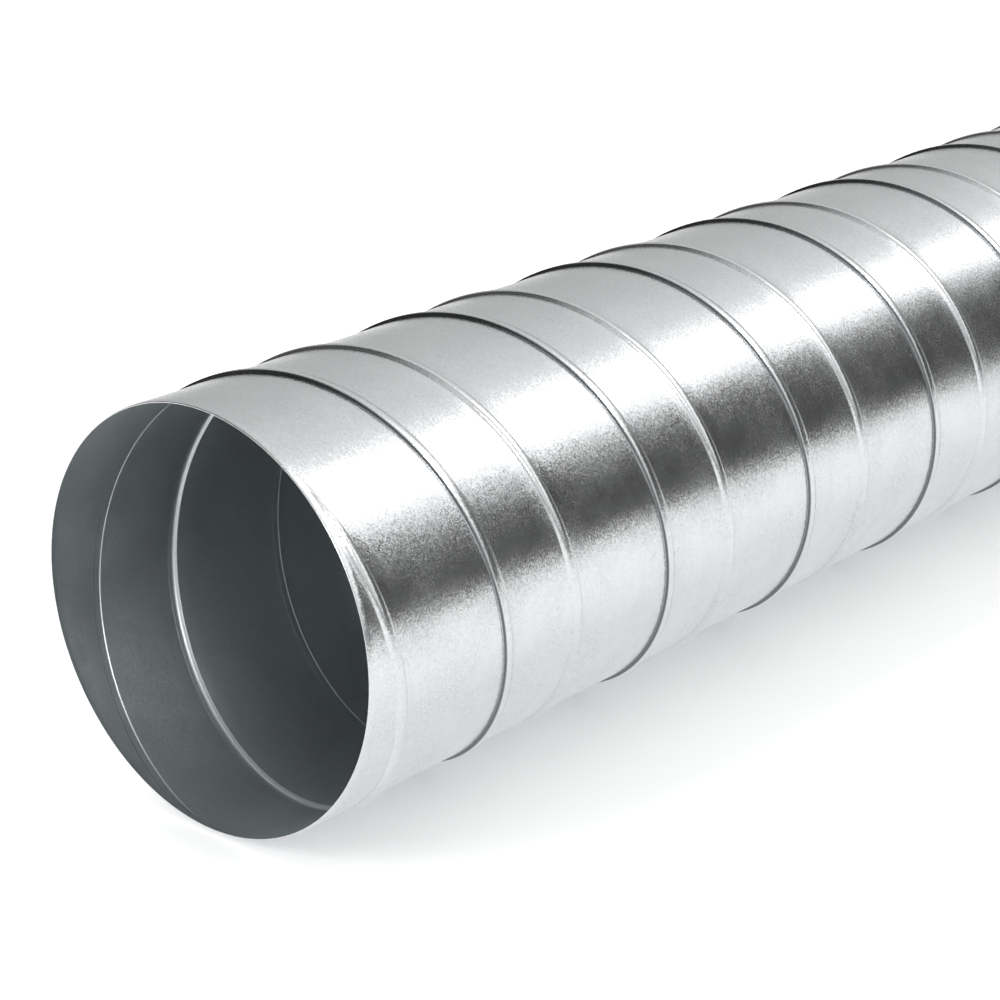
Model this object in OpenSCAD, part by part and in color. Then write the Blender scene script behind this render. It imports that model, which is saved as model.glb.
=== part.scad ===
// Spiral duct: round ventilation duct wound from one galvanised strip.
// The strip's two edges are folded into a lock seam that runs round the duct as a helix,
// and a rolled rib stiffens the strip between two turns of the seam.
// Millimetres, +Z up. The duct stands on its end, with Z = 0 on the floor and its axis on Z.

/* [Duct] */
// Inside diameter, which is the nominal size of the duct
bore_d = 200; // [150:5:250]
// Length of the piece of stock
length = 1000; // [500:50:1200]
// Thickness of the galvanised sheet
sheet = 0.5; // [0.4:0.1:0.8]

/* [Winding] */
// Advance of the strip in one turn, from seam to seam
pitch = 118; // [105:1:130]
// How far below the upper end the middle of the lock seam crosses the +X side
seam_below_top = 58; // [10:1:100]
// Distance from the lock seam down to the rib
rib_below_seam = 48; // [35:1:70]

/* [Lock seam] */
// Width of the folded seam
seam_w = 6; // [5:0.5:8]
// Height of the folded seam over the outside of the wall
seam_h = 1.7; // [1.5:0.1:2.5]
// Width of the lower edge of the seam, where only two of its layers lie on the wall
hem_w = 1.8; // [1:0.2:2.4]
// Height of that edge over the outside of the wall
hem_h = 0.9; // [0.6:0.1:1.2]
// Width of the shallow channel that the seam leaves inside
channel_w = 4; // [3:0.5:5]
// Depth of that channel
channel_h = 0.3; // [0.2:0.05:0.4]

/* [Rib] */
// Width of the rib at its foot, outside
rib_w = 6.5; // [6:0.5:10]
// Height of the rib over the outside of the wall
rib_h = 1.8; // [1.5:0.1:2.5]

/* [Cut ends] */
// Width of the band at each end where the cutting wheels draw the wall in
lip_w = 3.2; // [2:0.2:5]
// How far the cut edge is drawn in
lip_drop = 0.4; // [0.2:0.1:0.8]

/* [Hidden] */
zinc = "#b9bfc2";

bore_r = bore_d / 2;
wall_r = bore_r + sheet;
seam_z = length - seam_below_top;
rib_z = seam_z - rib_below_seam;

// Facets of a true round
round_fn = 96;
// Steps in a turn of the rib, and in a turn of a ribbon
rib_steps = 36;
ribbon_steps = 20;
// Steps in the curve of a drawn-in lip
lip_steps = 3;

// How deep a swept section reaches past the face that it is joined to or cut from
overlap = 2;
// How far the bore runs past the cut ends
clear = 10;

// A ribbon is flat between two steps, so its outer face stands off, and by a little more
ribbon_margin = 1.02;
ribbon_far = ribbon_margin / cos(180 / ribbon_steps);

// Height of the rib over its foot at part of its half width, as a flattened round bead
function bead(across) = sqrt(1 - across * across);

// Outside of the rib: half round, with its foot sunk in the wall
shoulder = 0.70;
rib_section = [
  [wall_r - overlap, -rib_w / 2],
  [wall_r + rib_h * bead(shoulder), -shoulder * rib_w / 2],
  [wall_r + rib_h, 0],
  [wall_r + rib_h * bead(shoulder), shoulder * rib_w / 2],
  [wall_r - overlap, rib_w / 2],
];

// Inside of the rib: the same bead, one sheet further in and flat at its crest
hollow_w = rib_w - 2 * sheet;
crest = 0.62;
hollow_section = [
  [bore_r - overlap, -hollow_w / 2],
  [bore_r + rib_h * bead(crest), -crest * hollow_w / 2],
  [bore_r + rib_h * bead(crest), crest * hollow_w / 2],
  [bore_r - overlap, hollow_w / 2],
];

// Section of a ribbon with level sides, between two heights, from under radius r to well over it
function ribbon_section(low, high, r) = [
  [r - overlap, low],
  [r * ribbon_far, low],
  [r * ribbon_far, high],
  [r - overlap, high],
];

// Outline of a cut end, as [radius, distance from the end], for a wall face of radius r
function lip_outline(r) = [
  for (k = [0 : lip_steps])
    [r - lip_drop * pow(1 - k / lip_steps, 2), lip_w * k / lip_steps]
];

// Outline of a whole face of the wall, from end to end
function wall_outline(r) = concat(
  lip_outline(r),
  [for (k = [lip_steps : -1 : 0]) let (p = lip_outline(r)[k]) [p[0], length - p[1]]]
);

// A point of a section, carried round the winding by some turns, as a right-handed helix
function wound(p, turn) = let (a = 360 * turn)
  [p[0] * cos(a), p[0] * sin(a), pitch * turn + p[1]];

// Closed solid that follows the winding: a section of [radius, height] points, which crosses
// the +X side at the height start, swept past both ends of the duct
module winding(section, start, steps) {
  n = len(section);
  first = floor((-clear - start) / pitch * steps) / steps;
  count = ceil((length + clear - start) / pitch * steps) - first * steps;
  points = [
    for (i = [0 : count], p = section)
      wound(p, first + i / steps) + [0, 0, start]
  ];
  sides = [
    for (i = [0 : count - 1], k = [0 : n - 1])
      let (a = i * n + k, b = i * n + (k + 1) % n)
      each [[a, b, b + n], [a, b + n, a + n]]
  ];
  lower_cap = [for (k = [n - 1 : -1 : 0]) k];
  upper_cap = [for (k = [0 : n - 1]) count * n + k];
  polyhedron(points, concat([lower_cap], sides, [upper_cap]), convexity = 30);
}

// Round bar on the duct's axis, between two heights
module bar(r, from, to) {
  translate([0, 0, from])
    cylinder(r = r, h = to - from, $fn = round_fn);
}

// Solid of revolution about the duct's axis, from an outline of [radius, height] points
module turned(outline) {
  axis_points = [[0, outline[len(outline) - 1][1]], [0, outline[0][1]]];
  rotate_extrude($fn = round_fn)
    polygon(concat(outline, axis_points));
}

// What the winding makes between the two lips, no further out than radius r
module between_lips(r) {
  intersection() {
    children();
    bar(r, lip_w, length - lip_w);
  }
}

module lock_seam() {
  low = -seam_w / 2;
  between_lips(wall_r + seam_h)
    winding(ribbon_section(low + hem_w, seam_w / 2, wall_r + seam_h), seam_z, ribbon_steps);
  between_lips(wall_r + hem_h)
    winding(ribbon_section(low, low + hem_w + overlap, wall_r + hem_h), seam_z, ribbon_steps);
}

module seam_channel() {
  between_lips(bore_r + channel_h)
    winding(ribbon_section(-channel_w / 2, channel_w / 2, bore_r + channel_h), seam_z, ribbon_steps);
}

module rib() {
  between_lips(wall_r + rib_h + overlap)
    winding(rib_section, rib_z, rib_steps);
}

module rib_hollow() {
  between_lips(bore_r + rib_h + overlap)
    winding(hollow_section, rib_z, rib_steps);
}

module bore() {
  edge = lip_outline(bore_r)[0][0];
  turned(wall_outline(bore_r));
  bar(edge, -clear, length + clear);
}

module duct() {
  color(zinc)
    difference() {
      union() {
        turned(wall_outline(wall_r));
        lock_seam();
        rib();
      }
      bore();
      seam_channel();
      rib_hollow();
    }
}

duct();
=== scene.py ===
"""Looks of a spiral duct: the wound sheet with its seam, rib and cut ends, its zinc finish and a plain studio."""
import math

import bpy
from bpy.props import BoolProperty, FloatProperty, FloatVectorProperty, IntProperty, PointerProperty
from mathutils import Euler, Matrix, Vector


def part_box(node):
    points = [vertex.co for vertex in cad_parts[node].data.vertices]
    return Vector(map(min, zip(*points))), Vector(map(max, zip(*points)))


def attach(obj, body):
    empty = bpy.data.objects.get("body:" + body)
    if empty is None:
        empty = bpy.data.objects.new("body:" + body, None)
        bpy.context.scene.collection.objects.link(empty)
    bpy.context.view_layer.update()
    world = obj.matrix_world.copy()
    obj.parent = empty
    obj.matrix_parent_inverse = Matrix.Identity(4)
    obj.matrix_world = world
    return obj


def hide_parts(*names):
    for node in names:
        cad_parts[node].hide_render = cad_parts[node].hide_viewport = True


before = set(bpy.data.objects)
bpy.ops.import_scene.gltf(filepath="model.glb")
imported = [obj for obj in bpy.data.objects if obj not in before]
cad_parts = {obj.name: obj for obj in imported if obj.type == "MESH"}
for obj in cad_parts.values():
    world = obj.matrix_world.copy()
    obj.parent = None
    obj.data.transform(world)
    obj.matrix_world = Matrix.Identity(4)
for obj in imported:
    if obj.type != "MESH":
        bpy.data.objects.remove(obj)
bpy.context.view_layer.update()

bl_info = {
    "name": "Spiral duct",
    "version": (1, 0, 0),
    "blender": (4, 5, 0),
    "location": "3D View > Sidebar > Duct",
    "description": "Winds a spiral duct from its sizes, with a zinc finish and a studio",
    "category": "Add Mesh",
}

DUCT_LOW, DUCT_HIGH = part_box("duct")
LENGTH = DUCT_HIGH.z - DUCT_LOW.z
# Where the winding map has the open fold of the lock seam, at its upper foot; a dark line of painted shade runs along
# it on the outside
FOLD_AT = 0.00305


# Sizes and colours

class DuctSizes(bpy.types.PropertyGroup):
    """Sizes of the duct, as in the part's source"""
    bore: FloatProperty(name="Bore", description="Inside diameter", default=0.200, unit="LENGTH")
    sheet: FloatProperty(name="Sheet", description="Thickness of the sheet", default=0.0005, unit="LENGTH")
    pitch: FloatProperty(name="Pitch", description="Advance of the strip in a turn", default=0.118, unit="LENGTH")
    seam_below_top: FloatProperty(name="Seam below top", default=0.058, unit="LENGTH",
                                  description="How far below the upper end the seam crosses the +X side")
    rib_below_seam: FloatProperty(name="Rib below seam", description="From the seam down to the rib",
                                  default=0.048, unit="LENGTH")
    seam_width: FloatProperty(name="Seam width", description="Width of the lock seam", default=0.006, unit="LENGTH")
    seam_height: FloatProperty(name="Seam height", description="Height of the lock seam", default=0.0017,
                               unit="LENGTH")
    hem_width: FloatProperty(name="Hem width", description="Width of the seam's lower edge", default=0.0018,
                             unit="LENGTH")
    hem_height: FloatProperty(name="Hem height", description="Height of the seam's lower edge", default=0.0009,
                              unit="LENGTH")
    channel_width: FloatProperty(name="Channel width", description="Width of the channel inside the seam",
                                 default=0.004, unit="LENGTH")
    channel_depth: FloatProperty(name="Channel depth", description="Depth of that channel", default=0.0003,
                                 unit="LENGTH")
    rib_width: FloatProperty(name="Rib width", description="Width of the rib at its foot", default=0.0065,
                             unit="LENGTH")
    rib_height: FloatProperty(name="Rib height", description="Height of the rib", default=0.0018, unit="LENGTH")
    lip_width: FloatProperty(name="Lip width", description="Width of the drawn-in band at a cut end",
                             default=0.0032, unit="LENGTH")
    lip_drop: FloatProperty(name="Lip drop", description="How far the cut edge is drawn in", default=0.0004,
                            unit="LENGTH")
    waist: FloatProperty(name="Waist", description="How far a panel 100 mm wide would be hollow at its middle",
                         default=0.0007, min=0.0, max=0.003, unit="LENGTH")
    steps_a_turn: IntProperty(name="Steps a turn", description="Facets round the duct", default=128, min=36, max=180)


class ZincFinish(bpy.types.PropertyGroup):
    """Colours and grain of the zinc coating"""
    colour: FloatVectorProperty(name="Zinc", description="Colour of the zinc", subtype="COLOR", size=3,
                                default=(0.80, 0.81, 0.82))
    dull_colour: FloatVectorProperty(name="Dull zinc", description="Colour of the duller crystals", subtype="COLOR",
                                     size=3, default=(0.64, 0.66, 0.67))
    grain: FloatProperty(name="Grain", description="Size of a zinc crystal", default=0.00055, unit="LENGTH")
    tilt: FloatProperty(name="Tilt", description="How far the crystals' faces lean", default=0.08, min=0.0, max=1.0)
    roughness: FloatProperty(name="Roughness", description="Roughness of the coating", default=0.19,
                             min=0.0, max=1.0, subtype="FACTOR")
    inside_roughness: FloatProperty(name="Inside roughness", description="Roughness of the duller inside",
                                    default=0.42, min=0.0, max=1.0, subtype="FACTOR")


class StudioSettings(bpy.types.PropertyGroup):
    """Camera, floor and light"""
    camera_place: FloatVectorProperty(name="Camera", description="Where the camera stands", size=3, unit="LENGTH",
                                      default=(0.4548, -0.7951, 1.7329))
    camera_turn: FloatVectorProperty(name="Camera turn", description="How the camera is turned, in degrees", size=3,
                                     default=(-20.293, 40.413, -90.0))
    lens: FloatProperty(name="Lens", description="Focal length on a 36 mm sensor, in millimetres", default=95.9)
    key: FloatProperty(name="Key light", description="Strength of the soft light on the photo's upper side",
                       default=15.0, min=0.0)
    top: FloatProperty(name="Top light", description="Strength of the soft light from above", default=25.0, min=0.0)
    end: FloatProperty(name="End light", description="Strength of the softbox that shines into the open end",
                       default=11.0, min=0.0)
    fill: FloatProperty(name="Fill", description="Level of the light from all round", default=0.8, min=0.0)
    floor_size: FloatProperty(name="Floor", description="Size of the floor", default=12.0, unit="LENGTH")


# Building node trees

class Bench:
    """Adds nodes to one tree and joins them"""

    def __init__(self, tree):
        self.tree = tree

    def add(self, kind, **settings):
        node = self.tree.nodes.new(kind)
        for name, value in settings.items():
            setattr(node, name, value)
        return node

    def feed(self, socket, value):
        """Joins another socket to this one, or sets it to a plain value"""
        if isinstance(value, bpy.types.NodeSocket):
            self.tree.links.new(value, socket)
        elif value is not None:
            socket.default_value = value

    def math(self, operation, *values, clamp=False):
        node = self.add("ShaderNodeMath", operation=operation, use_clamp=clamp)
        for socket, value in zip(node.inputs, values):
            self.feed(socket, value)
        return node.outputs[0]

    def vector(self, operation, *values):
        node = self.add("ShaderNodeVectorMath", operation=operation)
        for socket, value in zip(node.inputs, values):
            self.feed(socket, value)
        return node.outputs["Value"] if operation in ("LENGTH", "DOT_PRODUCT") else node.outputs["Vector"]

    def joined(self, x, y, z):
        node = self.add("ShaderNodeCombineXYZ")
        for socket, value in zip(node.inputs, (x, y, z)):
            self.feed(socket, value)
        return node.outputs[0]

    def parted(self, vector):
        node = self.add("ShaderNodeSeparateXYZ")
        self.feed(node.inputs[0], vector)
        return node.outputs

    def ramped(self, value, start, end, low=0.0, high=1.0, kind="SMOOTHSTEP"):
        node = self.add("ShaderNodeMapRange", interpolation_type=kind)
        for socket, number in zip(node.inputs, (value, start, end, low, high)):
            self.feed(socket, number)
        return node.outputs[0]

    def mixed(self, factor, first, second, kind="RGBA"):
        node = self.add("ShaderNodeMix", data_type=kind)
        ends = [s for s in node.inputs if s.name in ("A", "B") and s.enabled]
        self.feed(node.inputs[0], factor)
        for socket, value in zip(ends, (first, second)):
            self.feed(socket, value)
        return [s for s in node.outputs if s.enabled][0]


def tree_with(name, kind, inputs, outputs):
    """A new node tree with named inputs and outputs, each given as (name, socket type)"""
    tree = bpy.data.node_groups.new(name, kind)
    for label, socket_type in inputs:
        tree.interface.new_socket(name=label, in_out="INPUT", socket_type=socket_type)
    for label, socket_type in outputs:
        tree.interface.new_socket(name=label, in_out="OUTPUT", socket_type=socket_type)
    bench = Bench(tree)
    given = bench.add("NodeGroupInput").outputs
    result = bench.add("NodeGroupOutput").inputs
    return tree, bench, given, result


# Shape

def smooth_panel(start, end, hollow, count):
    """Points of a panel between seam and rib, drawn in a little at its middle"""
    width = end - start
    deep = hollow * (width / 0.1) ** 2
    return [(start + width * k / count, -deep * 4 * (k / count) * (1 - k / count)) for k in range(1, count)]


def rounded_bead(width, height, foot):
    """Half section of a rolled bead, from its foot to its crest, with a soft foot"""
    half = width / 2
    return [(-half - foot, 0.0), (-half - foot * 0.35, height * 0.02), (-half + foot * 0.1, height * 0.12),
            (-half * 0.90, height * 0.32), (-half * 0.78, height * 0.58), (-half * 0.62, height * 0.79),
            (-half * 0.42, height * 0.92), (-half * 0.20, height * 0.985)]


def bead(width, height, foot):
    rise = rounded_bead(width, height, foot)
    return rise + [(0.0, height)] + [(-across, up) for across, up in reversed(rise)]


def lock_seam_outline(sizes):
    """Outside of the folded seam, from its low hem up to its folded edge"""
    half, top, hem_top = sizes.seam_width / 2, sizes.seam_height, sizes.hem_height
    hem_end = -half + sizes.hem_width
    bend = 0.00022
    return [(-half - 0.0006, 0.0), (-half - 0.0001, 0.00002), (-half + 0.00003, hem_top * 0.4),
            (-half + 0.00012, hem_top * 0.85), (-half + 0.00035, hem_top), (hem_end - 0.0002, hem_top * 0.97),
            (hem_end - 0.00003, hem_top * 1.02), (hem_end + 0.00005, top * 0.75), (hem_end + bend, top * 0.93),
            (hem_end + 0.0007, top * 0.98), ((hem_end + half) / 2, top), (half - 0.0008, top * 0.975),
            (half - bend * 1.5, top * 0.90), (half - 0.00012, top * 0.70), (half - 0.00002, top * 0.30),
            (half + 0.00008, 0.00002), (half + 0.0007, 0.0)]


def channel_outline(sizes):
    """Inside of the seam: a shallow channel with soft edges"""
    half, depth = sizes.channel_width / 2, sizes.channel_depth
    rise = [(-half - 0.0004, 0.0), (-half - 0.0001, depth * 0.06), (-half + 0.0001, depth * 0.55),
            (-half + 0.0003, depth * 0.95), (-half + 0.0007, depth)]
    return rise + [(-across, up) for across, up in reversed(rise)]


def strip_outline(sizes, radius, seam, rib, hollow):
    """One face of the strip from one edge to the other, as (height off the seam's middle, radius)"""
    rib_at = -sizes.rib_below_seam
    rib = [(rib_at + across, up) for across, up in rib]
    after_seam = seam[-1][0]
    before_rib = rib[0][0] + sizes.pitch
    edge = (after_seam + before_rib) / 2
    long_panel = smooth_panel(after_seam, before_rib, hollow, 8)
    lower_half = [(across - sizes.pitch, up) for across, up in long_panel if across >= edge - 1e-9]
    upper_half = [(across, up) for across, up in long_panel if across <= edge + 1e-9]
    short_panel = smooth_panel(rib[-1][0], seam[0][0], hollow, 5)
    points = lower_half + rib + short_panel + seam + upper_half
    return [(across, radius + up) for across, up in points]


def lip_outline(sizes, wall_radius, bore_radius):
    """Cut end, as (distance from the end, radius), from the outside foot over the edge to the inside foot"""
    corner = 0.00007
    steps = 6
    outside, inside = [], []
    for k in range(steps + 1):
        away = sizes.lip_width * (1 - k / steps)
        drop = sizes.lip_drop * (k / steps) ** 2
        outside.append((max(away, corner), wall_radius - drop))
        inside.append((max(away, corner), bore_radius - drop))
    outside.append((0.0, wall_radius - sizes.lip_drop - corner))
    inside.append((0.0, bore_radius - sizes.lip_drop + corner))
    return outside + list(reversed(inside))


def outline_object(name, points):
    """Carries an outline into a node tree: a mesh whose points hold (offset, radius, 0)"""
    mesh = bpy.data.meshes.new(name)
    mesh.from_pydata([(offset, radius, 0.0) for offset, radius in points], [], [])
    carrier = bpy.data.objects.new(name, mesh)
    bpy.context.scene.collection.objects.link(carrier)
    return carrier


def grid_steps(bench, around, across):
    """A grid of the given steps, with each point's number round the duct and along the outline"""
    grid = bench.add("GeometryNodeMeshGrid")
    bench.feed(grid.inputs["Size X"], 1.0)
    bench.feed(grid.inputs["Size Y"], 1.0)
    bench.feed(grid.inputs["Vertices X"], bench.math("ADD", around, 1.0))
    bench.feed(grid.inputs["Vertices Y"], across)
    x, y, _ = bench.parted(bench.add("GeometryNodeInputPosition").outputs[0])
    step = bench.math("ROUND", bench.math("MULTIPLY", bench.math("ADD", x, 0.5), around))
    last = bench.math("SUBTRACT", across, 1.0)
    point = bench.math("ROUND", bench.math("MULTIPLY", bench.math("ADD", y, 0.5), last))
    return grid.outputs["Mesh"], step, point


def outline_at(bench, outline, point):
    """Offset and radius of an outline's point"""
    carrier = bench.add("GeometryNodeObjectInfo")
    bench.feed(carrier.inputs["Object"], outline)
    sample = bench.add("GeometryNodeSampleIndex", data_type="FLOAT_VECTOR", domain="POINT")
    bench.feed(sample.inputs["Geometry"], carrier.outputs["Geometry"])
    bench.feed(sample.inputs["Value"], bench.add("GeometryNodeInputPosition").outputs[0])
    bench.feed(sample.inputs["Index"], point)
    return bench.parted(sample.outputs[0])[:2]


def placed(bench, mesh, step, steps_a_turn, radius, height, along, across, inside):
    """Puts the grid's points round the axis, writes the winding map and turns inside faces inwards"""
    around = bench.math("FLOORED_MODULO", step, steps_a_turn)
    angle = bench.math("MULTIPLY", bench.math("DIVIDE", around, steps_a_turn), 2 * math.pi)
    map_node = bench.add("GeometryNodeStoreNamedAttribute", data_type="FLOAT2", domain="CORNER")
    bench.feed(map_node.inputs["Geometry"], mesh)
    bench.feed(map_node.inputs["Name"], "winding")
    bench.feed([s for s in map_node.inputs if s.name == "Value" and s.enabled][0],
               bench.joined(along, across, 0.0))
    move = bench.add("GeometryNodeSetPosition")
    bench.feed(move.inputs["Geometry"], map_node.outputs[0])
    bench.feed(move.inputs["Position"], bench.joined(bench.math("MULTIPLY", radius, bench.math("COSINE", angle)),
                                                     bench.math("MULTIPLY", radius, bench.math("SINE", angle)),
                                                     height))
    flip = bench.add("GeometryNodeFlipFaces")
    bench.feed(flip.inputs[0], move.outputs[0])
    bench.feed(flip.inputs["Selection"], inside)
    return flip.outputs[0]


def wound_face_tree():
    """One face of the sheet, wound up the duct between the two lips"""
    tree, bench, given, result = tree_with("Wound face", "GeometryNodeTree", [
        ("Outline", "NodeSocketObject"), ("Points", "NodeSocketInt"), ("Steps a turn", "NodeSocketInt"),
        ("First step", "NodeSocketInt"), ("Steps", "NodeSocketInt"), ("Pitch", "NodeSocketFloat"),
        ("Seam height", "NodeSocketFloat"), ("Wall radius", "NodeSocketFloat"), ("Lower end", "NodeSocketFloat"),
        ("Upper end", "NodeSocketFloat"), ("Rise", "NodeSocketFloat"), ("Settle", "NodeSocketFloat"),
        ("Inside", "NodeSocketBool")],
        [("Face", "NodeSocketGeometry")])
    mesh, step, point = grid_steps(bench, given["Steps"], given["Points"])
    step = bench.math("ADD", step, given["First step"])
    offset, radius = outline_at(bench, given["Outline"], point)
    turns = bench.math("DIVIDE", step, given["Steps a turn"])
    level = bench.math("ADD", given["Seam height"], bench.math("MULTIPLY", given["Pitch"], turns))
    level = bench.math("ADD", level, offset)
    height = bench.math("MINIMUM", bench.math("MAXIMUM", level, given["Lower end"]), given["Upper end"])
    room = bench.math("MINIMUM", bench.math("SUBTRACT", level, given["Lower end"]),
                      bench.math("SUBTRACT", given["Upper end"], level))
    relief = bench.math("SUBTRACT", radius, given["Wall radius"])
    raised = bench.math("MULTIPLY", bench.math("MAXIMUM", relief, 0.0), bench.ramped(room, 0.0, given["Rise"]))
    sunk = bench.math("MULTIPLY", bench.math("MINIMUM", relief, 0.0), bench.ramped(room, 0.0, given["Settle"]))
    radius = bench.math("ADD", given["Wall radius"], bench.math("ADD", raised, sunk))
    along = bench.math("MULTIPLY", turns, bench.math("MULTIPLY", given["Wall radius"], 2 * math.pi))
    face = placed(bench, mesh, step, given["Steps a turn"], radius, height, along, offset, given["Inside"])
    bench.feed(result["Face"], face)
    return tree


def cut_end_tree():
    """The drawn-in lip of a cut end, turned about the duct's axis"""
    tree, bench, given, result = tree_with("Cut end", "GeometryNodeTree", [
        ("Outline", "NodeSocketObject"), ("Points", "NodeSocketInt"), ("Steps a turn", "NodeSocketInt"),
        ("End height", "NodeSocketFloat"), ("Direction", "NodeSocketFloat"), ("Turn over", "NodeSocketBool")],
        [("Lip", "NodeSocketGeometry")])
    mesh, step, point = grid_steps(bench, given["Steps a turn"], given["Points"])
    offset, radius = outline_at(bench, given["Outline"], point)
    height = bench.math("ADD", given["End height"], bench.math("MULTIPLY", offset, given["Direction"]))
    along = bench.math("MULTIPLY", bench.math("DIVIDE", step, given["Steps a turn"]),
                       bench.math("MULTIPLY", radius, 2 * math.pi))
    lip = placed(bench, mesh, step, given["Steps a turn"], radius, height, along, bench.math("ADD", offset, 0.03),
                 given["Turn over"])
    bench.feed(result["Lip"], lip)
    return tree


DUCT_INPUTS = [
    ("Outer face", "NodeSocketObject"), ("Outer points", "NodeSocketInt"), ("Inner face", "NodeSocketObject"),
    ("Inner points", "NodeSocketInt"), ("Lip", "NodeSocketObject"), ("Lip points", "NodeSocketInt"),
    ("Steps a turn", "NodeSocketInt"), ("First step", "NodeSocketInt"), ("Steps", "NodeSocketInt"),
    ("Pitch", "NodeSocketFloat"), ("Seam height", "NodeSocketFloat"), ("Wall radius", "NodeSocketFloat"),
    ("Bore radius", "NodeSocketFloat"), ("Length", "NodeSocketFloat"), ("Lip width", "NodeSocketFloat"),
    ("Rise", "NodeSocketFloat"), ("Settle", "NodeSocketFloat"), ("Finish", "NodeSocketMaterial")]


def duct_tree():
    """The whole duct: both faces of the wound sheet, joined at both cut ends into one closed skin"""
    tree, bench, given, result = tree_with(
        "Spiral duct", "GeometryNodeTree", [("Geometry", "NodeSocketGeometry")] + DUCT_INPUTS,
        [("Geometry", "NodeSocketGeometry")])
    wound_face, cut_end = wound_face_tree(), cut_end_tree()
    together = bench.add("GeometryNodeJoinGeometry")
    low = given["Lip width"]
    high = bench.math("SUBTRACT", given["Length"], given["Lip width"])
    for outline, points, radius, inside in (("Outer face", "Outer points", "Wall radius", False),
                                            ("Inner face", "Inner points", "Bore radius", True)):
        face = bench.add("GeometryNodeGroup", node_tree=wound_face)
        values = {"Outline": given[outline], "Points": given[points], "Steps a turn": given["Steps a turn"],
                  "First step": given["First step"], "Steps": given["Steps"], "Pitch": given["Pitch"],
                  "Seam height": given["Seam height"], "Wall radius": given[radius], "Lower end": low,
                  "Upper end": high, "Rise": given["Rise"], "Settle": given["Settle"], "Inside": inside}
        for name, value in values.items():
            bench.feed(face.inputs[name], value)
        bench.feed(together.inputs[0], face.outputs[0])
    for end, direction, turn_over in ((given["Length"], -1.0, False), (0.0, 1.0, True)):
        lip = bench.add("GeometryNodeGroup", node_tree=cut_end)
        values = {"Outline": given["Lip"], "Points": given["Lip points"], "Steps a turn": given["Steps a turn"],
                  "End height": end, "Direction": direction, "Turn over": turn_over}
        for name, value in values.items():
            bench.feed(lip.inputs[name], value)
        bench.feed(together.inputs[0], lip.outputs[0])
    weld = bench.add("GeometryNodeMergeByDistance")
    bench.feed(weld.inputs["Geometry"], together.outputs[0])
    bench.feed(weld.inputs["Distance"], 0.000008)
    realise = bench.add("GeometryNodeRealizeInstances")
    bench.feed(realise.inputs[0], weld.outputs[0])
    soft = bench.add("GeometryNodeSetShadeSmooth", domain="FACE")
    bench.feed(soft.inputs["Geometry"], realise.outputs[0])
    bench.feed(soft.inputs["Shade Smooth"], True)
    finish = bench.add("GeometryNodeSetMaterial")
    bench.feed(finish.inputs["Geometry"], soft.outputs[0])
    bench.feed(finish.inputs["Material"], given["Finish"])
    bench.feed(result["Geometry"], finish.outputs[0])
    return tree


def wind_duct(sizes, finish):
    """Runs the duct's node tree and returns the plain mesh object"""
    bore_radius = sizes.bore / 2
    wall_radius = bore_radius + sizes.sheet
    outer = strip_outline(sizes, wall_radius, lock_seam_outline(sizes),
                          bead(sizes.rib_width, sizes.rib_height, 0.0004), sizes.waist)
    hollow_width = sizes.rib_width - 2 * sizes.sheet
    inner = strip_outline(sizes, bore_radius, channel_outline(sizes),
                          bead(hollow_width, sizes.rib_height - 0.00004, 0.0003), sizes.waist)
    lip = lip_outline(sizes, wall_radius, bore_radius)
    seam_height = LENGTH - sizes.seam_below_top
    steps = sizes.steps_a_turn
    first = math.floor((sizes.lip_width - seam_height - outer[-1][0]) / sizes.pitch * steps) - 1
    last = math.ceil((LENGTH - sizes.lip_width - seam_height - outer[0][0]) / sizes.pitch * steps) + 1
    carriers = [outline_object("outer_outline", outer), outline_object("inner_outline", inner),
                outline_object("lip_outline", lip)]
    base = bpy.data.objects.new("winding_base", bpy.data.meshes.new("winding_base"))
    bpy.context.scene.collection.objects.link(base)
    modifier = base.modifiers.new("Spiral duct", "NODES")
    modifier.node_group = duct_tree()
    values = {"Outer face": carriers[0], "Outer points": len(outer), "Inner face": carriers[1],
              "Inner points": len(inner), "Lip": carriers[2], "Lip points": len(lip), "Steps a turn": steps,
              "First step": first, "Steps": last - first, "Pitch": sizes.pitch, "Seam height": seam_height,
              "Wall radius": wall_radius, "Bore radius": bore_radius, "Length": LENGTH,
              "Lip width": sizes.lip_width, "Rise": 0.0016, "Settle": 0.030, "Finish": finish}
    for item in modifier.node_group.interface.items_tree:
        if item.in_out == "INPUT" and item.name in values:
            modifier[item.identifier] = values[item.name]
    bpy.context.view_layer.update()
    evaluated = base.evaluated_get(bpy.context.evaluated_depsgraph_get())
    mesh = bpy.data.meshes.new_from_object(evaluated)
    mesh.name = "spiral_duct"
    duct = bpy.data.objects.new("spiral_duct", mesh)
    bpy.context.scene.collection.objects.link(duct)
    base.modifiers.clear()
    for spare in carriers + [base]:
        bpy.data.objects.remove(spare)
    if not mesh.polygons:
        raise RuntimeError("the winding made no faces")
    return duct


# Finish

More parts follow.
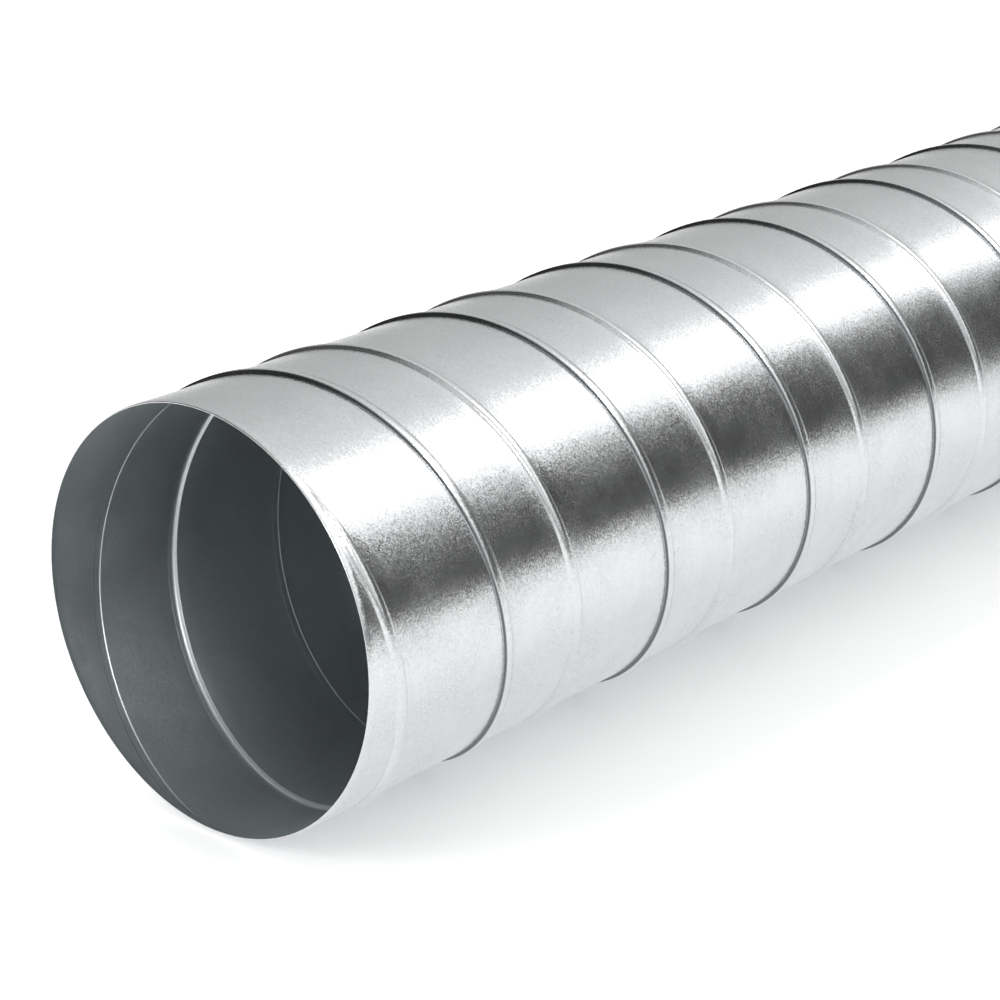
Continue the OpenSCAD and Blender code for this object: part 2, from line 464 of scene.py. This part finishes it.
def zinc_grain_group():
    """Fine crystals of a zinc coating: a leaning normal, and a shade that differs from crystal to crystal"""
    tree, bench, given, result = tree_with("Zinc grain", "ShaderNodeTree", [
        ("Vector", "NodeSocketVector"), ("Grain", "NodeSocketFloat"), ("Tilt", "NodeSocketFloat")],
        [("Normal", "NodeSocketVector"), ("Shade", "NodeSocketFloat"), ("Cloud", "NodeSocketFloat")])
    fine = bench.add("ShaderNodeTexVoronoi", feature="F1", voronoi_dimensions="3D")
    bench.feed(fine.inputs["Vector"], given["Vector"])
    bench.feed(fine.inputs["Scale"], bench.math("DIVIDE", 1.0, given["Grain"]))
    coarse = bench.add("ShaderNodeTexVoronoi", feature="F1", voronoi_dimensions="3D")
    bench.feed(coarse.inputs["Vector"], given["Vector"])
    bench.feed(coarse.inputs["Scale"], bench.math("DIVIDE", 0.36, given["Grain"]))
    lean = bench.vector("SUBTRACT", fine.outputs["Color"], (0.5, 0.5, 0.5))
    slow_lean = bench.vector("SUBTRACT", coarse.outputs["Color"], (0.5, 0.5, 0.5))
    lean = bench.vector("ADD", lean, bench.vector("MULTIPLY", slow_lean, (0.10, 0.10, 0.10)))
    scale = bench.add("ShaderNodeVectorMath", operation="SCALE")
    bench.feed(scale.inputs[0], lean)
    bench.feed(scale.inputs["Scale"], given["Tilt"])
    normal = bench.vector("ADD", bench.add("ShaderNodeNewGeometry").outputs["Normal"], scale.outputs[0])
    bench.feed(result["Normal"], bench.vector("NORMALIZE", normal))
    shade = bench.parted(fine.outputs["Color"])[0]
    bench.feed(result["Shade"], bench.mixed(0.4, shade, bench.parted(coarse.outputs["Color"])[1], "FLOAT"))
    cloud = bench.add("ShaderNodeTexNoise", noise_dimensions="3D")
    bench.feed(cloud.inputs["Vector"], given["Vector"])
    bench.feed(cloud.inputs["Scale"], 38.0)
    bench.feed(cloud.inputs["Detail"], 5.0)
    bench.feed(result["Cloud"], bench.ramped(cloud.outputs["Fac"], 0.3, 0.7))
    return tree


def winding_marks_group():
    """Marks that run with the winding: roller streaks (the painted shade in the seam's fold is laid on in the zinc
    finish)
    """
    tree, bench, given, result = tree_with("Winding marks", "ShaderNodeTree", [
        ("Winding", "NodeSocketVector"), ("Streak width", "NodeSocketFloat")],
        [("Streak", "NodeSocketFloat")])
    along, across, _ = bench.parted(given["Winding"])
    noise = bench.add("ShaderNodeTexNoise", noise_dimensions="2D")
    bench.feed(noise.inputs["Vector"], bench.joined(bench.math("MULTIPLY", along, 6.0),
                                                    bench.math("DIVIDE", across, given["Streak width"]), 0.0))
    bench.feed(noise.inputs["Scale"], 1.0)
    bench.feed(noise.inputs["Detail"], 4.0)
    bench.feed(result["Streak"], bench.ramped(noise.outputs["Fac"], 0.35, 0.65))
    return tree


def facing_axis(bench, position):
    """One on the faces that look towards the duct's axis, nought outside"""
    x, y, _ = bench.parted(position)
    normal = bench.add("ShaderNodeNewGeometry").outputs["True Normal"]
    return bench.math("LESS_THAN", bench.vector("DOT_PRODUCT", normal, bench.joined(x, y, 0.0)), 0.0)


def zinc_finish(settings):
    """Galvanised steel sheet with a fine even grain"""
    material = bpy.data.materials.new("galvanised_sheet")
    material.use_nodes = True
    tree = material.node_tree
    tree.nodes.clear()
    bench = Bench(tree)
    place = bench.add("ShaderNodeTexCoord")
    winding = bench.add("ShaderNodeUVMap", uv_map="winding")
    grain = bench.add("ShaderNodeGroup", node_tree=zinc_grain_group())
    bench.feed(grain.inputs["Vector"], place.outputs["Object"])
    bench.feed(grain.inputs["Grain"], settings.grain)
    bench.feed(grain.inputs["Tilt"], settings.tilt)
    marks = bench.add("ShaderNodeGroup", node_tree=winding_marks_group())
    bench.feed(marks.inputs["Winding"], winding.outputs[0])
    bench.feed(marks.inputs["Streak width"], 0.0011)
    dull = bench.math("ADD", bench.math("MULTIPLY", grain.outputs["Shade"], 0.55),
                      bench.math("MULTIPLY", grain.outputs["Cloud"], 0.25))
    dull = bench.math("ADD", dull, bench.math("MULTIPLY", marks.outputs["Streak"], 0.08), clamp=True)
    colour = bench.mixed(dull, (*settings.colour, 1.0), (*settings.dull_colour, 1.0))
    inside = facing_axis(bench, place.outputs["Object"])
    across = bench.parted(winding.outputs[0])[1]
    off_fold = bench.math("ABSOLUTE", bench.math("SUBTRACT", across, FOLD_AT))
    # Painted shade: a near-black line in the crease at the seam's upper foot, on the outside only
    painted_fold_shade = bench.math("MULTIPLY", bench.ramped(off_fold, 0.00045, 0.00010), bench.math("SUBTRACT", 1.0, inside))
    colour = bench.mixed(bench.math("MULTIPLY", painted_fold_shade, 0.8), colour, (0.05, 0.055, 0.06, 1.0))
    # Painted shade: the faces towards the axis take a darker grey-green tint, for the shade inside the tube
    colour = bench.mixed(bench.math("MULTIPLY", inside, 0.35), colour, (0.50, 0.58, 0.60, 1.0))
    base_rough = bench.mixed(inside, settings.roughness, settings.inside_roughness, "FLOAT")
    rough = bench.math("ADD", base_rough, bench.math("MULTIPLY", grain.outputs["Cloud"], 0.05))
    rough = bench.math("ADD", rough, bench.math("MULTIPLY", grain.outputs["Shade"], 0.06))
    shader = bench.add("ShaderNodeBsdfPrincipled")
    bench.feed(shader.inputs["Base Color"], colour)
    bench.feed(shader.inputs["Metallic"], 1.0)
    bench.feed(shader.inputs["Roughness"], rough)
    bench.feed(shader.inputs["Normal"], grain.outputs["Normal"])
    out = bench.add("ShaderNodeOutputMaterial")
    bench.feed(out.inputs["Surface"], shader.outputs[0])
    return material


# Studio

def pale_surface(name, see_through_back):
    """White paper that shows as plain white where nothing shades it, and keeps shadows"""
    material = bpy.data.materials.new(name)
    material.use_nodes = True
    tree = material.node_tree
    tree.nodes.clear()
    bench = Bench(tree)
    paper = bench.add("ShaderNodeBsdfDiffuse")
    bench.feed(paper.inputs["Color"], (0.92, 0.92, 0.92, 1.0))
    rays = bench.add("ShaderNodeLightPath")
    extra = bench.add("ShaderNodeBsdfDiffuse")
    bench.feed(extra.inputs["Color"], (0.38, 0.38, 0.38, 1.0))
    bright = bench.add("ShaderNodeAddShader")
    bench.feed(bright.inputs[0], paper.outputs[0])
    bench.feed(bright.inputs[1], extra.outputs[0])
    mirrored = bench.add("ShaderNodeAddShader")
    dim_paper = bench.add("ShaderNodeBsdfDiffuse")
    bench.feed(dim_paper.inputs["Color"], (0.6, 0.6, 0.6, 1.0))
    glow = bench.add("ShaderNodeEmission")
    bench.feed(glow.inputs["Color"], (1.0, 1.0, 1.0, 1.0))
    bench.feed(glow.inputs["Strength"], 0.48)
    bench.feed(mirrored.inputs[0], dim_paper.outputs[0])
    bench.feed(mirrored.inputs[1], glow.outputs[0])
    unseen = bench.add("ShaderNodeMixShader")
    bench.feed(unseen.inputs[0], rays.outputs["Is Glossy Ray"])
    bench.feed(unseen.inputs[1], paper.outputs[0])
    bench.feed(unseen.inputs[2], mirrored.outputs[0])
    choice = bench.add("ShaderNodeMixShader")
    bench.feed(choice.inputs[0], bench.math("MAXIMUM", rays.outputs["Is Camera Ray"],
                                            rays.outputs["Is Transmission Ray"]))
    bench.feed(choice.inputs[1], unseen.outputs[0])
    bench.feed(choice.inputs[2], bright.outputs[0])
    surface = choice.outputs[0]
    if see_through_back:
        place = bench.add("ShaderNodeTexCoord").outputs["Object"]
        shade = bench.add("ShaderNodeBsdfDiffuse")
        bench.feed(shade.inputs["Color"], (0.04, 0.04, 0.04, 1.0))
        ends = bench.add("ShaderNodeMixShader")
        bench.feed(ends.inputs[0], bench.math("MULTIPLY", rays.outputs["Is Glossy Ray"],
                                              bench.ramped(bench.parted(place)[1], -0.55, -1.05)))
        bench.feed(ends.inputs[1], surface)
        bench.feed(ends.inputs[2], shade.outputs[0])
        surface = ends.outputs[0]
        clear = bench.add("ShaderNodeBsdfTransparent")
        behind = bench.math("MULTIPLY", bench.add("ShaderNodeNewGeometry").outputs["Backfacing"],
                            rays.outputs["Is Camera Ray"])
        back = bench.add("ShaderNodeMixShader")
        bench.feed(back.inputs[0], behind)
        bench.feed(back.inputs[1], surface)
        bench.feed(back.inputs[2], clear.outputs[0])
        surface = back.outputs[0]
    out = bench.add("ShaderNodeOutputMaterial")
    bench.feed(out.inputs["Surface"], surface)
    return material


def flat_sheet(name, corners, material):
    mesh = bpy.data.meshes.new(name)
    mesh.from_pydata(corners, [], [tuple(range(len(corners)))])
    sheet = bpy.data.objects.new(name, mesh)
    bpy.context.scene.collection.objects.link(sheet)
    mesh.materials.append(material)
    return sheet


def banded(bench, value, stops):
    """A grey level that follows a value through some stops"""
    ramp = bench.add("ShaderNodeValToRGB")
    bench.feed(ramp.inputs[0], value)
    band = ramp.color_ramp
    band.interpolation = "EASE"
    while len(band.elements) < len(stops):
        band.elements.new(0.5)
    for element, (place, level) in zip(band.elements, stops):
        element.position = place
        element.color = (level, level, level, 1.0)
    return ramp.outputs[0]


def studio_world(settings):
    """White all round, and a softbox, a dark side and a grey side that only the metal reflects"""
    world = bpy.data.worlds.new("studio")
    world.use_nodes = True
    tree = world.node_tree
    tree.nodes.clear()
    bench = Bench(tree)
    direction = bench.add("ShaderNodeTexCoord").outputs["Generated"]
    x, y, z = bench.parted(direction)
    around = bench.math("DIVIDE", bench.math("ARCTAN2", y, x), 2 * math.pi)
    around = bench.math("ADD", around, 0.5)
    sides = banded(bench, around, [(0.0, 0.60), (0.24, 0.05), (0.36, 0.05), (0.40, 0.35), (0.475, 0.96), (0.50, 0.88),
                                   (0.555, 0.78), (0.61, 0.64), (0.70, 0.55), (1.0, 0.60)])
    upper = banded(bench, around, [(0.0, 0.45), (0.08, 0.9), (0.17, 1.0), (0.46, 1.0), (0.51, 0.5), (0.56, 0.10),
                                   (0.86, 0.08), (0.94, 0.3), (1.0, 0.45)])
    leaning = bench.math("ADD", around, bench.math("MULTIPLY", bench.math("ADD", z, 0.714), 0.33))
    softbox = bench.math("MULTIPLY", bench.ramped(leaning, 0.350, 0.372), bench.ramped(around, 0.485, 0.455))
    side = bench.math("ADD", sides, bench.math("MULTIPLY", softbox, 1.4))
    seen = bench.mixed(bench.ramped(z, -0.45, -0.15), side, bench.math("MULTIPLY", upper, 0.7), "FLOAT")
    seen = bench.mixed(bench.ramped(z, -0.87, -0.97), seen, 0.30, "FLOAT")
    rays = bench.add("ShaderNodeLightPath")
    colour = bench.mixed(rays.outputs["Is Glossy Ray"], (settings.fill, settings.fill, settings.fill, 1.0), seen)
    background = bench.mixed(rays.outputs["Is Camera Ray"], colour, (1.0, 1.0, 1.0, 1.0))
    shader = bench.add("ShaderNodeBackground")
    bench.feed(shader.inputs["Color"], background)
    bench.feed(shader.inputs["Strength"], 1.0)
    out = bench.add("ShaderNodeOutputWorld")
    bench.feed(out.inputs["Surface"], shader.outputs[0])
    return world


def soft_light(name, place, aim, size, power, on_metal=False):
    """A round lamp that lights either the paper or, as a softbox, the metal"""
    light = bpy.data.lights.new(name, "AREA")
    light.shape = "DISK"
    light.size = size
    light.energy = power
    lamp = bpy.data.objects.new(name, light)
    bpy.context.scene.collection.objects.link(lamp)
    lamp.location = place
    lamp.rotation_euler = (Vector(aim) - Vector(place)).to_track_quat("-Z", "Y").to_euler()
    lamp.visible_camera = False
    lamp.visible_glossy = on_metal
    lamp.visible_diffuse = not on_metal
    return lamp


# Operators

class DUCT_OT_wind(bpy.types.Operator):
    """Wind the duct from its sizes and give it its zinc finish"""
    bl_idname = "duct.wind"
    bl_label = "Wind the duct"

    def execute(self, context):
        duct = wind_duct(context.scene.duct_sizes, zinc_finish(context.scene.zinc_finish))
        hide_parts("duct")
        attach(duct, "root")
        return {"FINISHED"}


class DUCT_OT_studio(bpy.types.Operator):
    """Set up the floor, the backdrop, the light and the camera"""
    bl_idname = "duct.studio"
    bl_label = "Set up the studio"

    def execute(self, context):
        settings = context.scene.duct_studio
        half = settings.floor_size / 2
        side = DUCT_LOW.x
        floor = flat_sheet("floor", [(-half, -half, 0), (half, -half, 0), (half, half, 0), (-half, half, 0)],
                           pale_surface("floor_paper", False))
        floor.visible_glossy = False
        flat_sheet("backdrop", [(side, -half, -half), (side, half, -half), (side, half, half), (side, -half, half)],
                   pale_surface("backdrop_paper", True))
        soft_light("key_light", (2.0, 1.1, 0.8), (0, 0, 0.6), 1.2, settings.key)
        soft_light("top_light", (1.5, 1.0, 3.5), (0, 0, 0.3), 1.6, settings.top)
        soft_light("end_light", (1.0, -1.16, 1.60), (0, 0, 0.95), 0.45, settings.end, on_metal=True)
        context.scene.world = studio_world(settings)
        camera_data = bpy.data.cameras.new("camera")
        camera_data.sensor_width = 36.0
        camera_data.lens = settings.lens
        camera_data.clip_start = 0.01
        camera = bpy.data.objects.new("camera", camera_data)
        context.scene.collection.objects.link(camera)
        camera.location = settings.camera_place
        camera.rotation_euler = Euler([math.radians(angle) for angle in settings.camera_turn], "XYZ")
        context.scene.camera = camera
        context.scene.view_settings.view_transform = "Standard"
        return {"FINISHED"}


class DUCT_PT_panel(bpy.types.Panel):
    """Sizes and steps of the spiral duct"""
    bl_label = "Spiral duct"
    bl_idname = "DUCT_PT_panel"
    bl_space_type = "VIEW_3D"
    bl_region_type = "UI"
    bl_category = "Duct"

    def draw(self, context):
        for settings, operator in ((context.scene.duct_sizes, "duct.wind"), (context.scene.zinc_finish, None),
                                   (context.scene.duct_studio, "duct.studio")):
            box = self.layout.box()
            for name in settings.bl_rna.properties.keys():
                if name not in ("rna_type", "name"):
                    box.prop(settings, name)
            if operator:
                box.operator(operator)


CLASSES = (DuctSizes, ZincFinish, StudioSettings, DUCT_OT_wind, DUCT_OT_studio, DUCT_PT_panel)


def register():
    for each in CLASSES:
        bpy.utils.register_class(each)
    bpy.types.Scene.duct_sizes = PointerProperty(type=DuctSizes)
    bpy.types.Scene.zinc_finish = PointerProperty(type=ZincFinish)
    bpy.types.Scene.duct_studio = PointerProperty(type=StudioSettings)


def unregister():
    del bpy.types.Scene.duct_sizes
    del bpy.types.Scene.zinc_finish
    del bpy.types.Scene.duct_studio
    for each in reversed(CLASSES):
        bpy.utils.unregister_class(each)


def main():
    register()
    bpy.ops.duct.wind()
    bpy.ops.duct.studio()


if __name__ == "__main__":
    main()
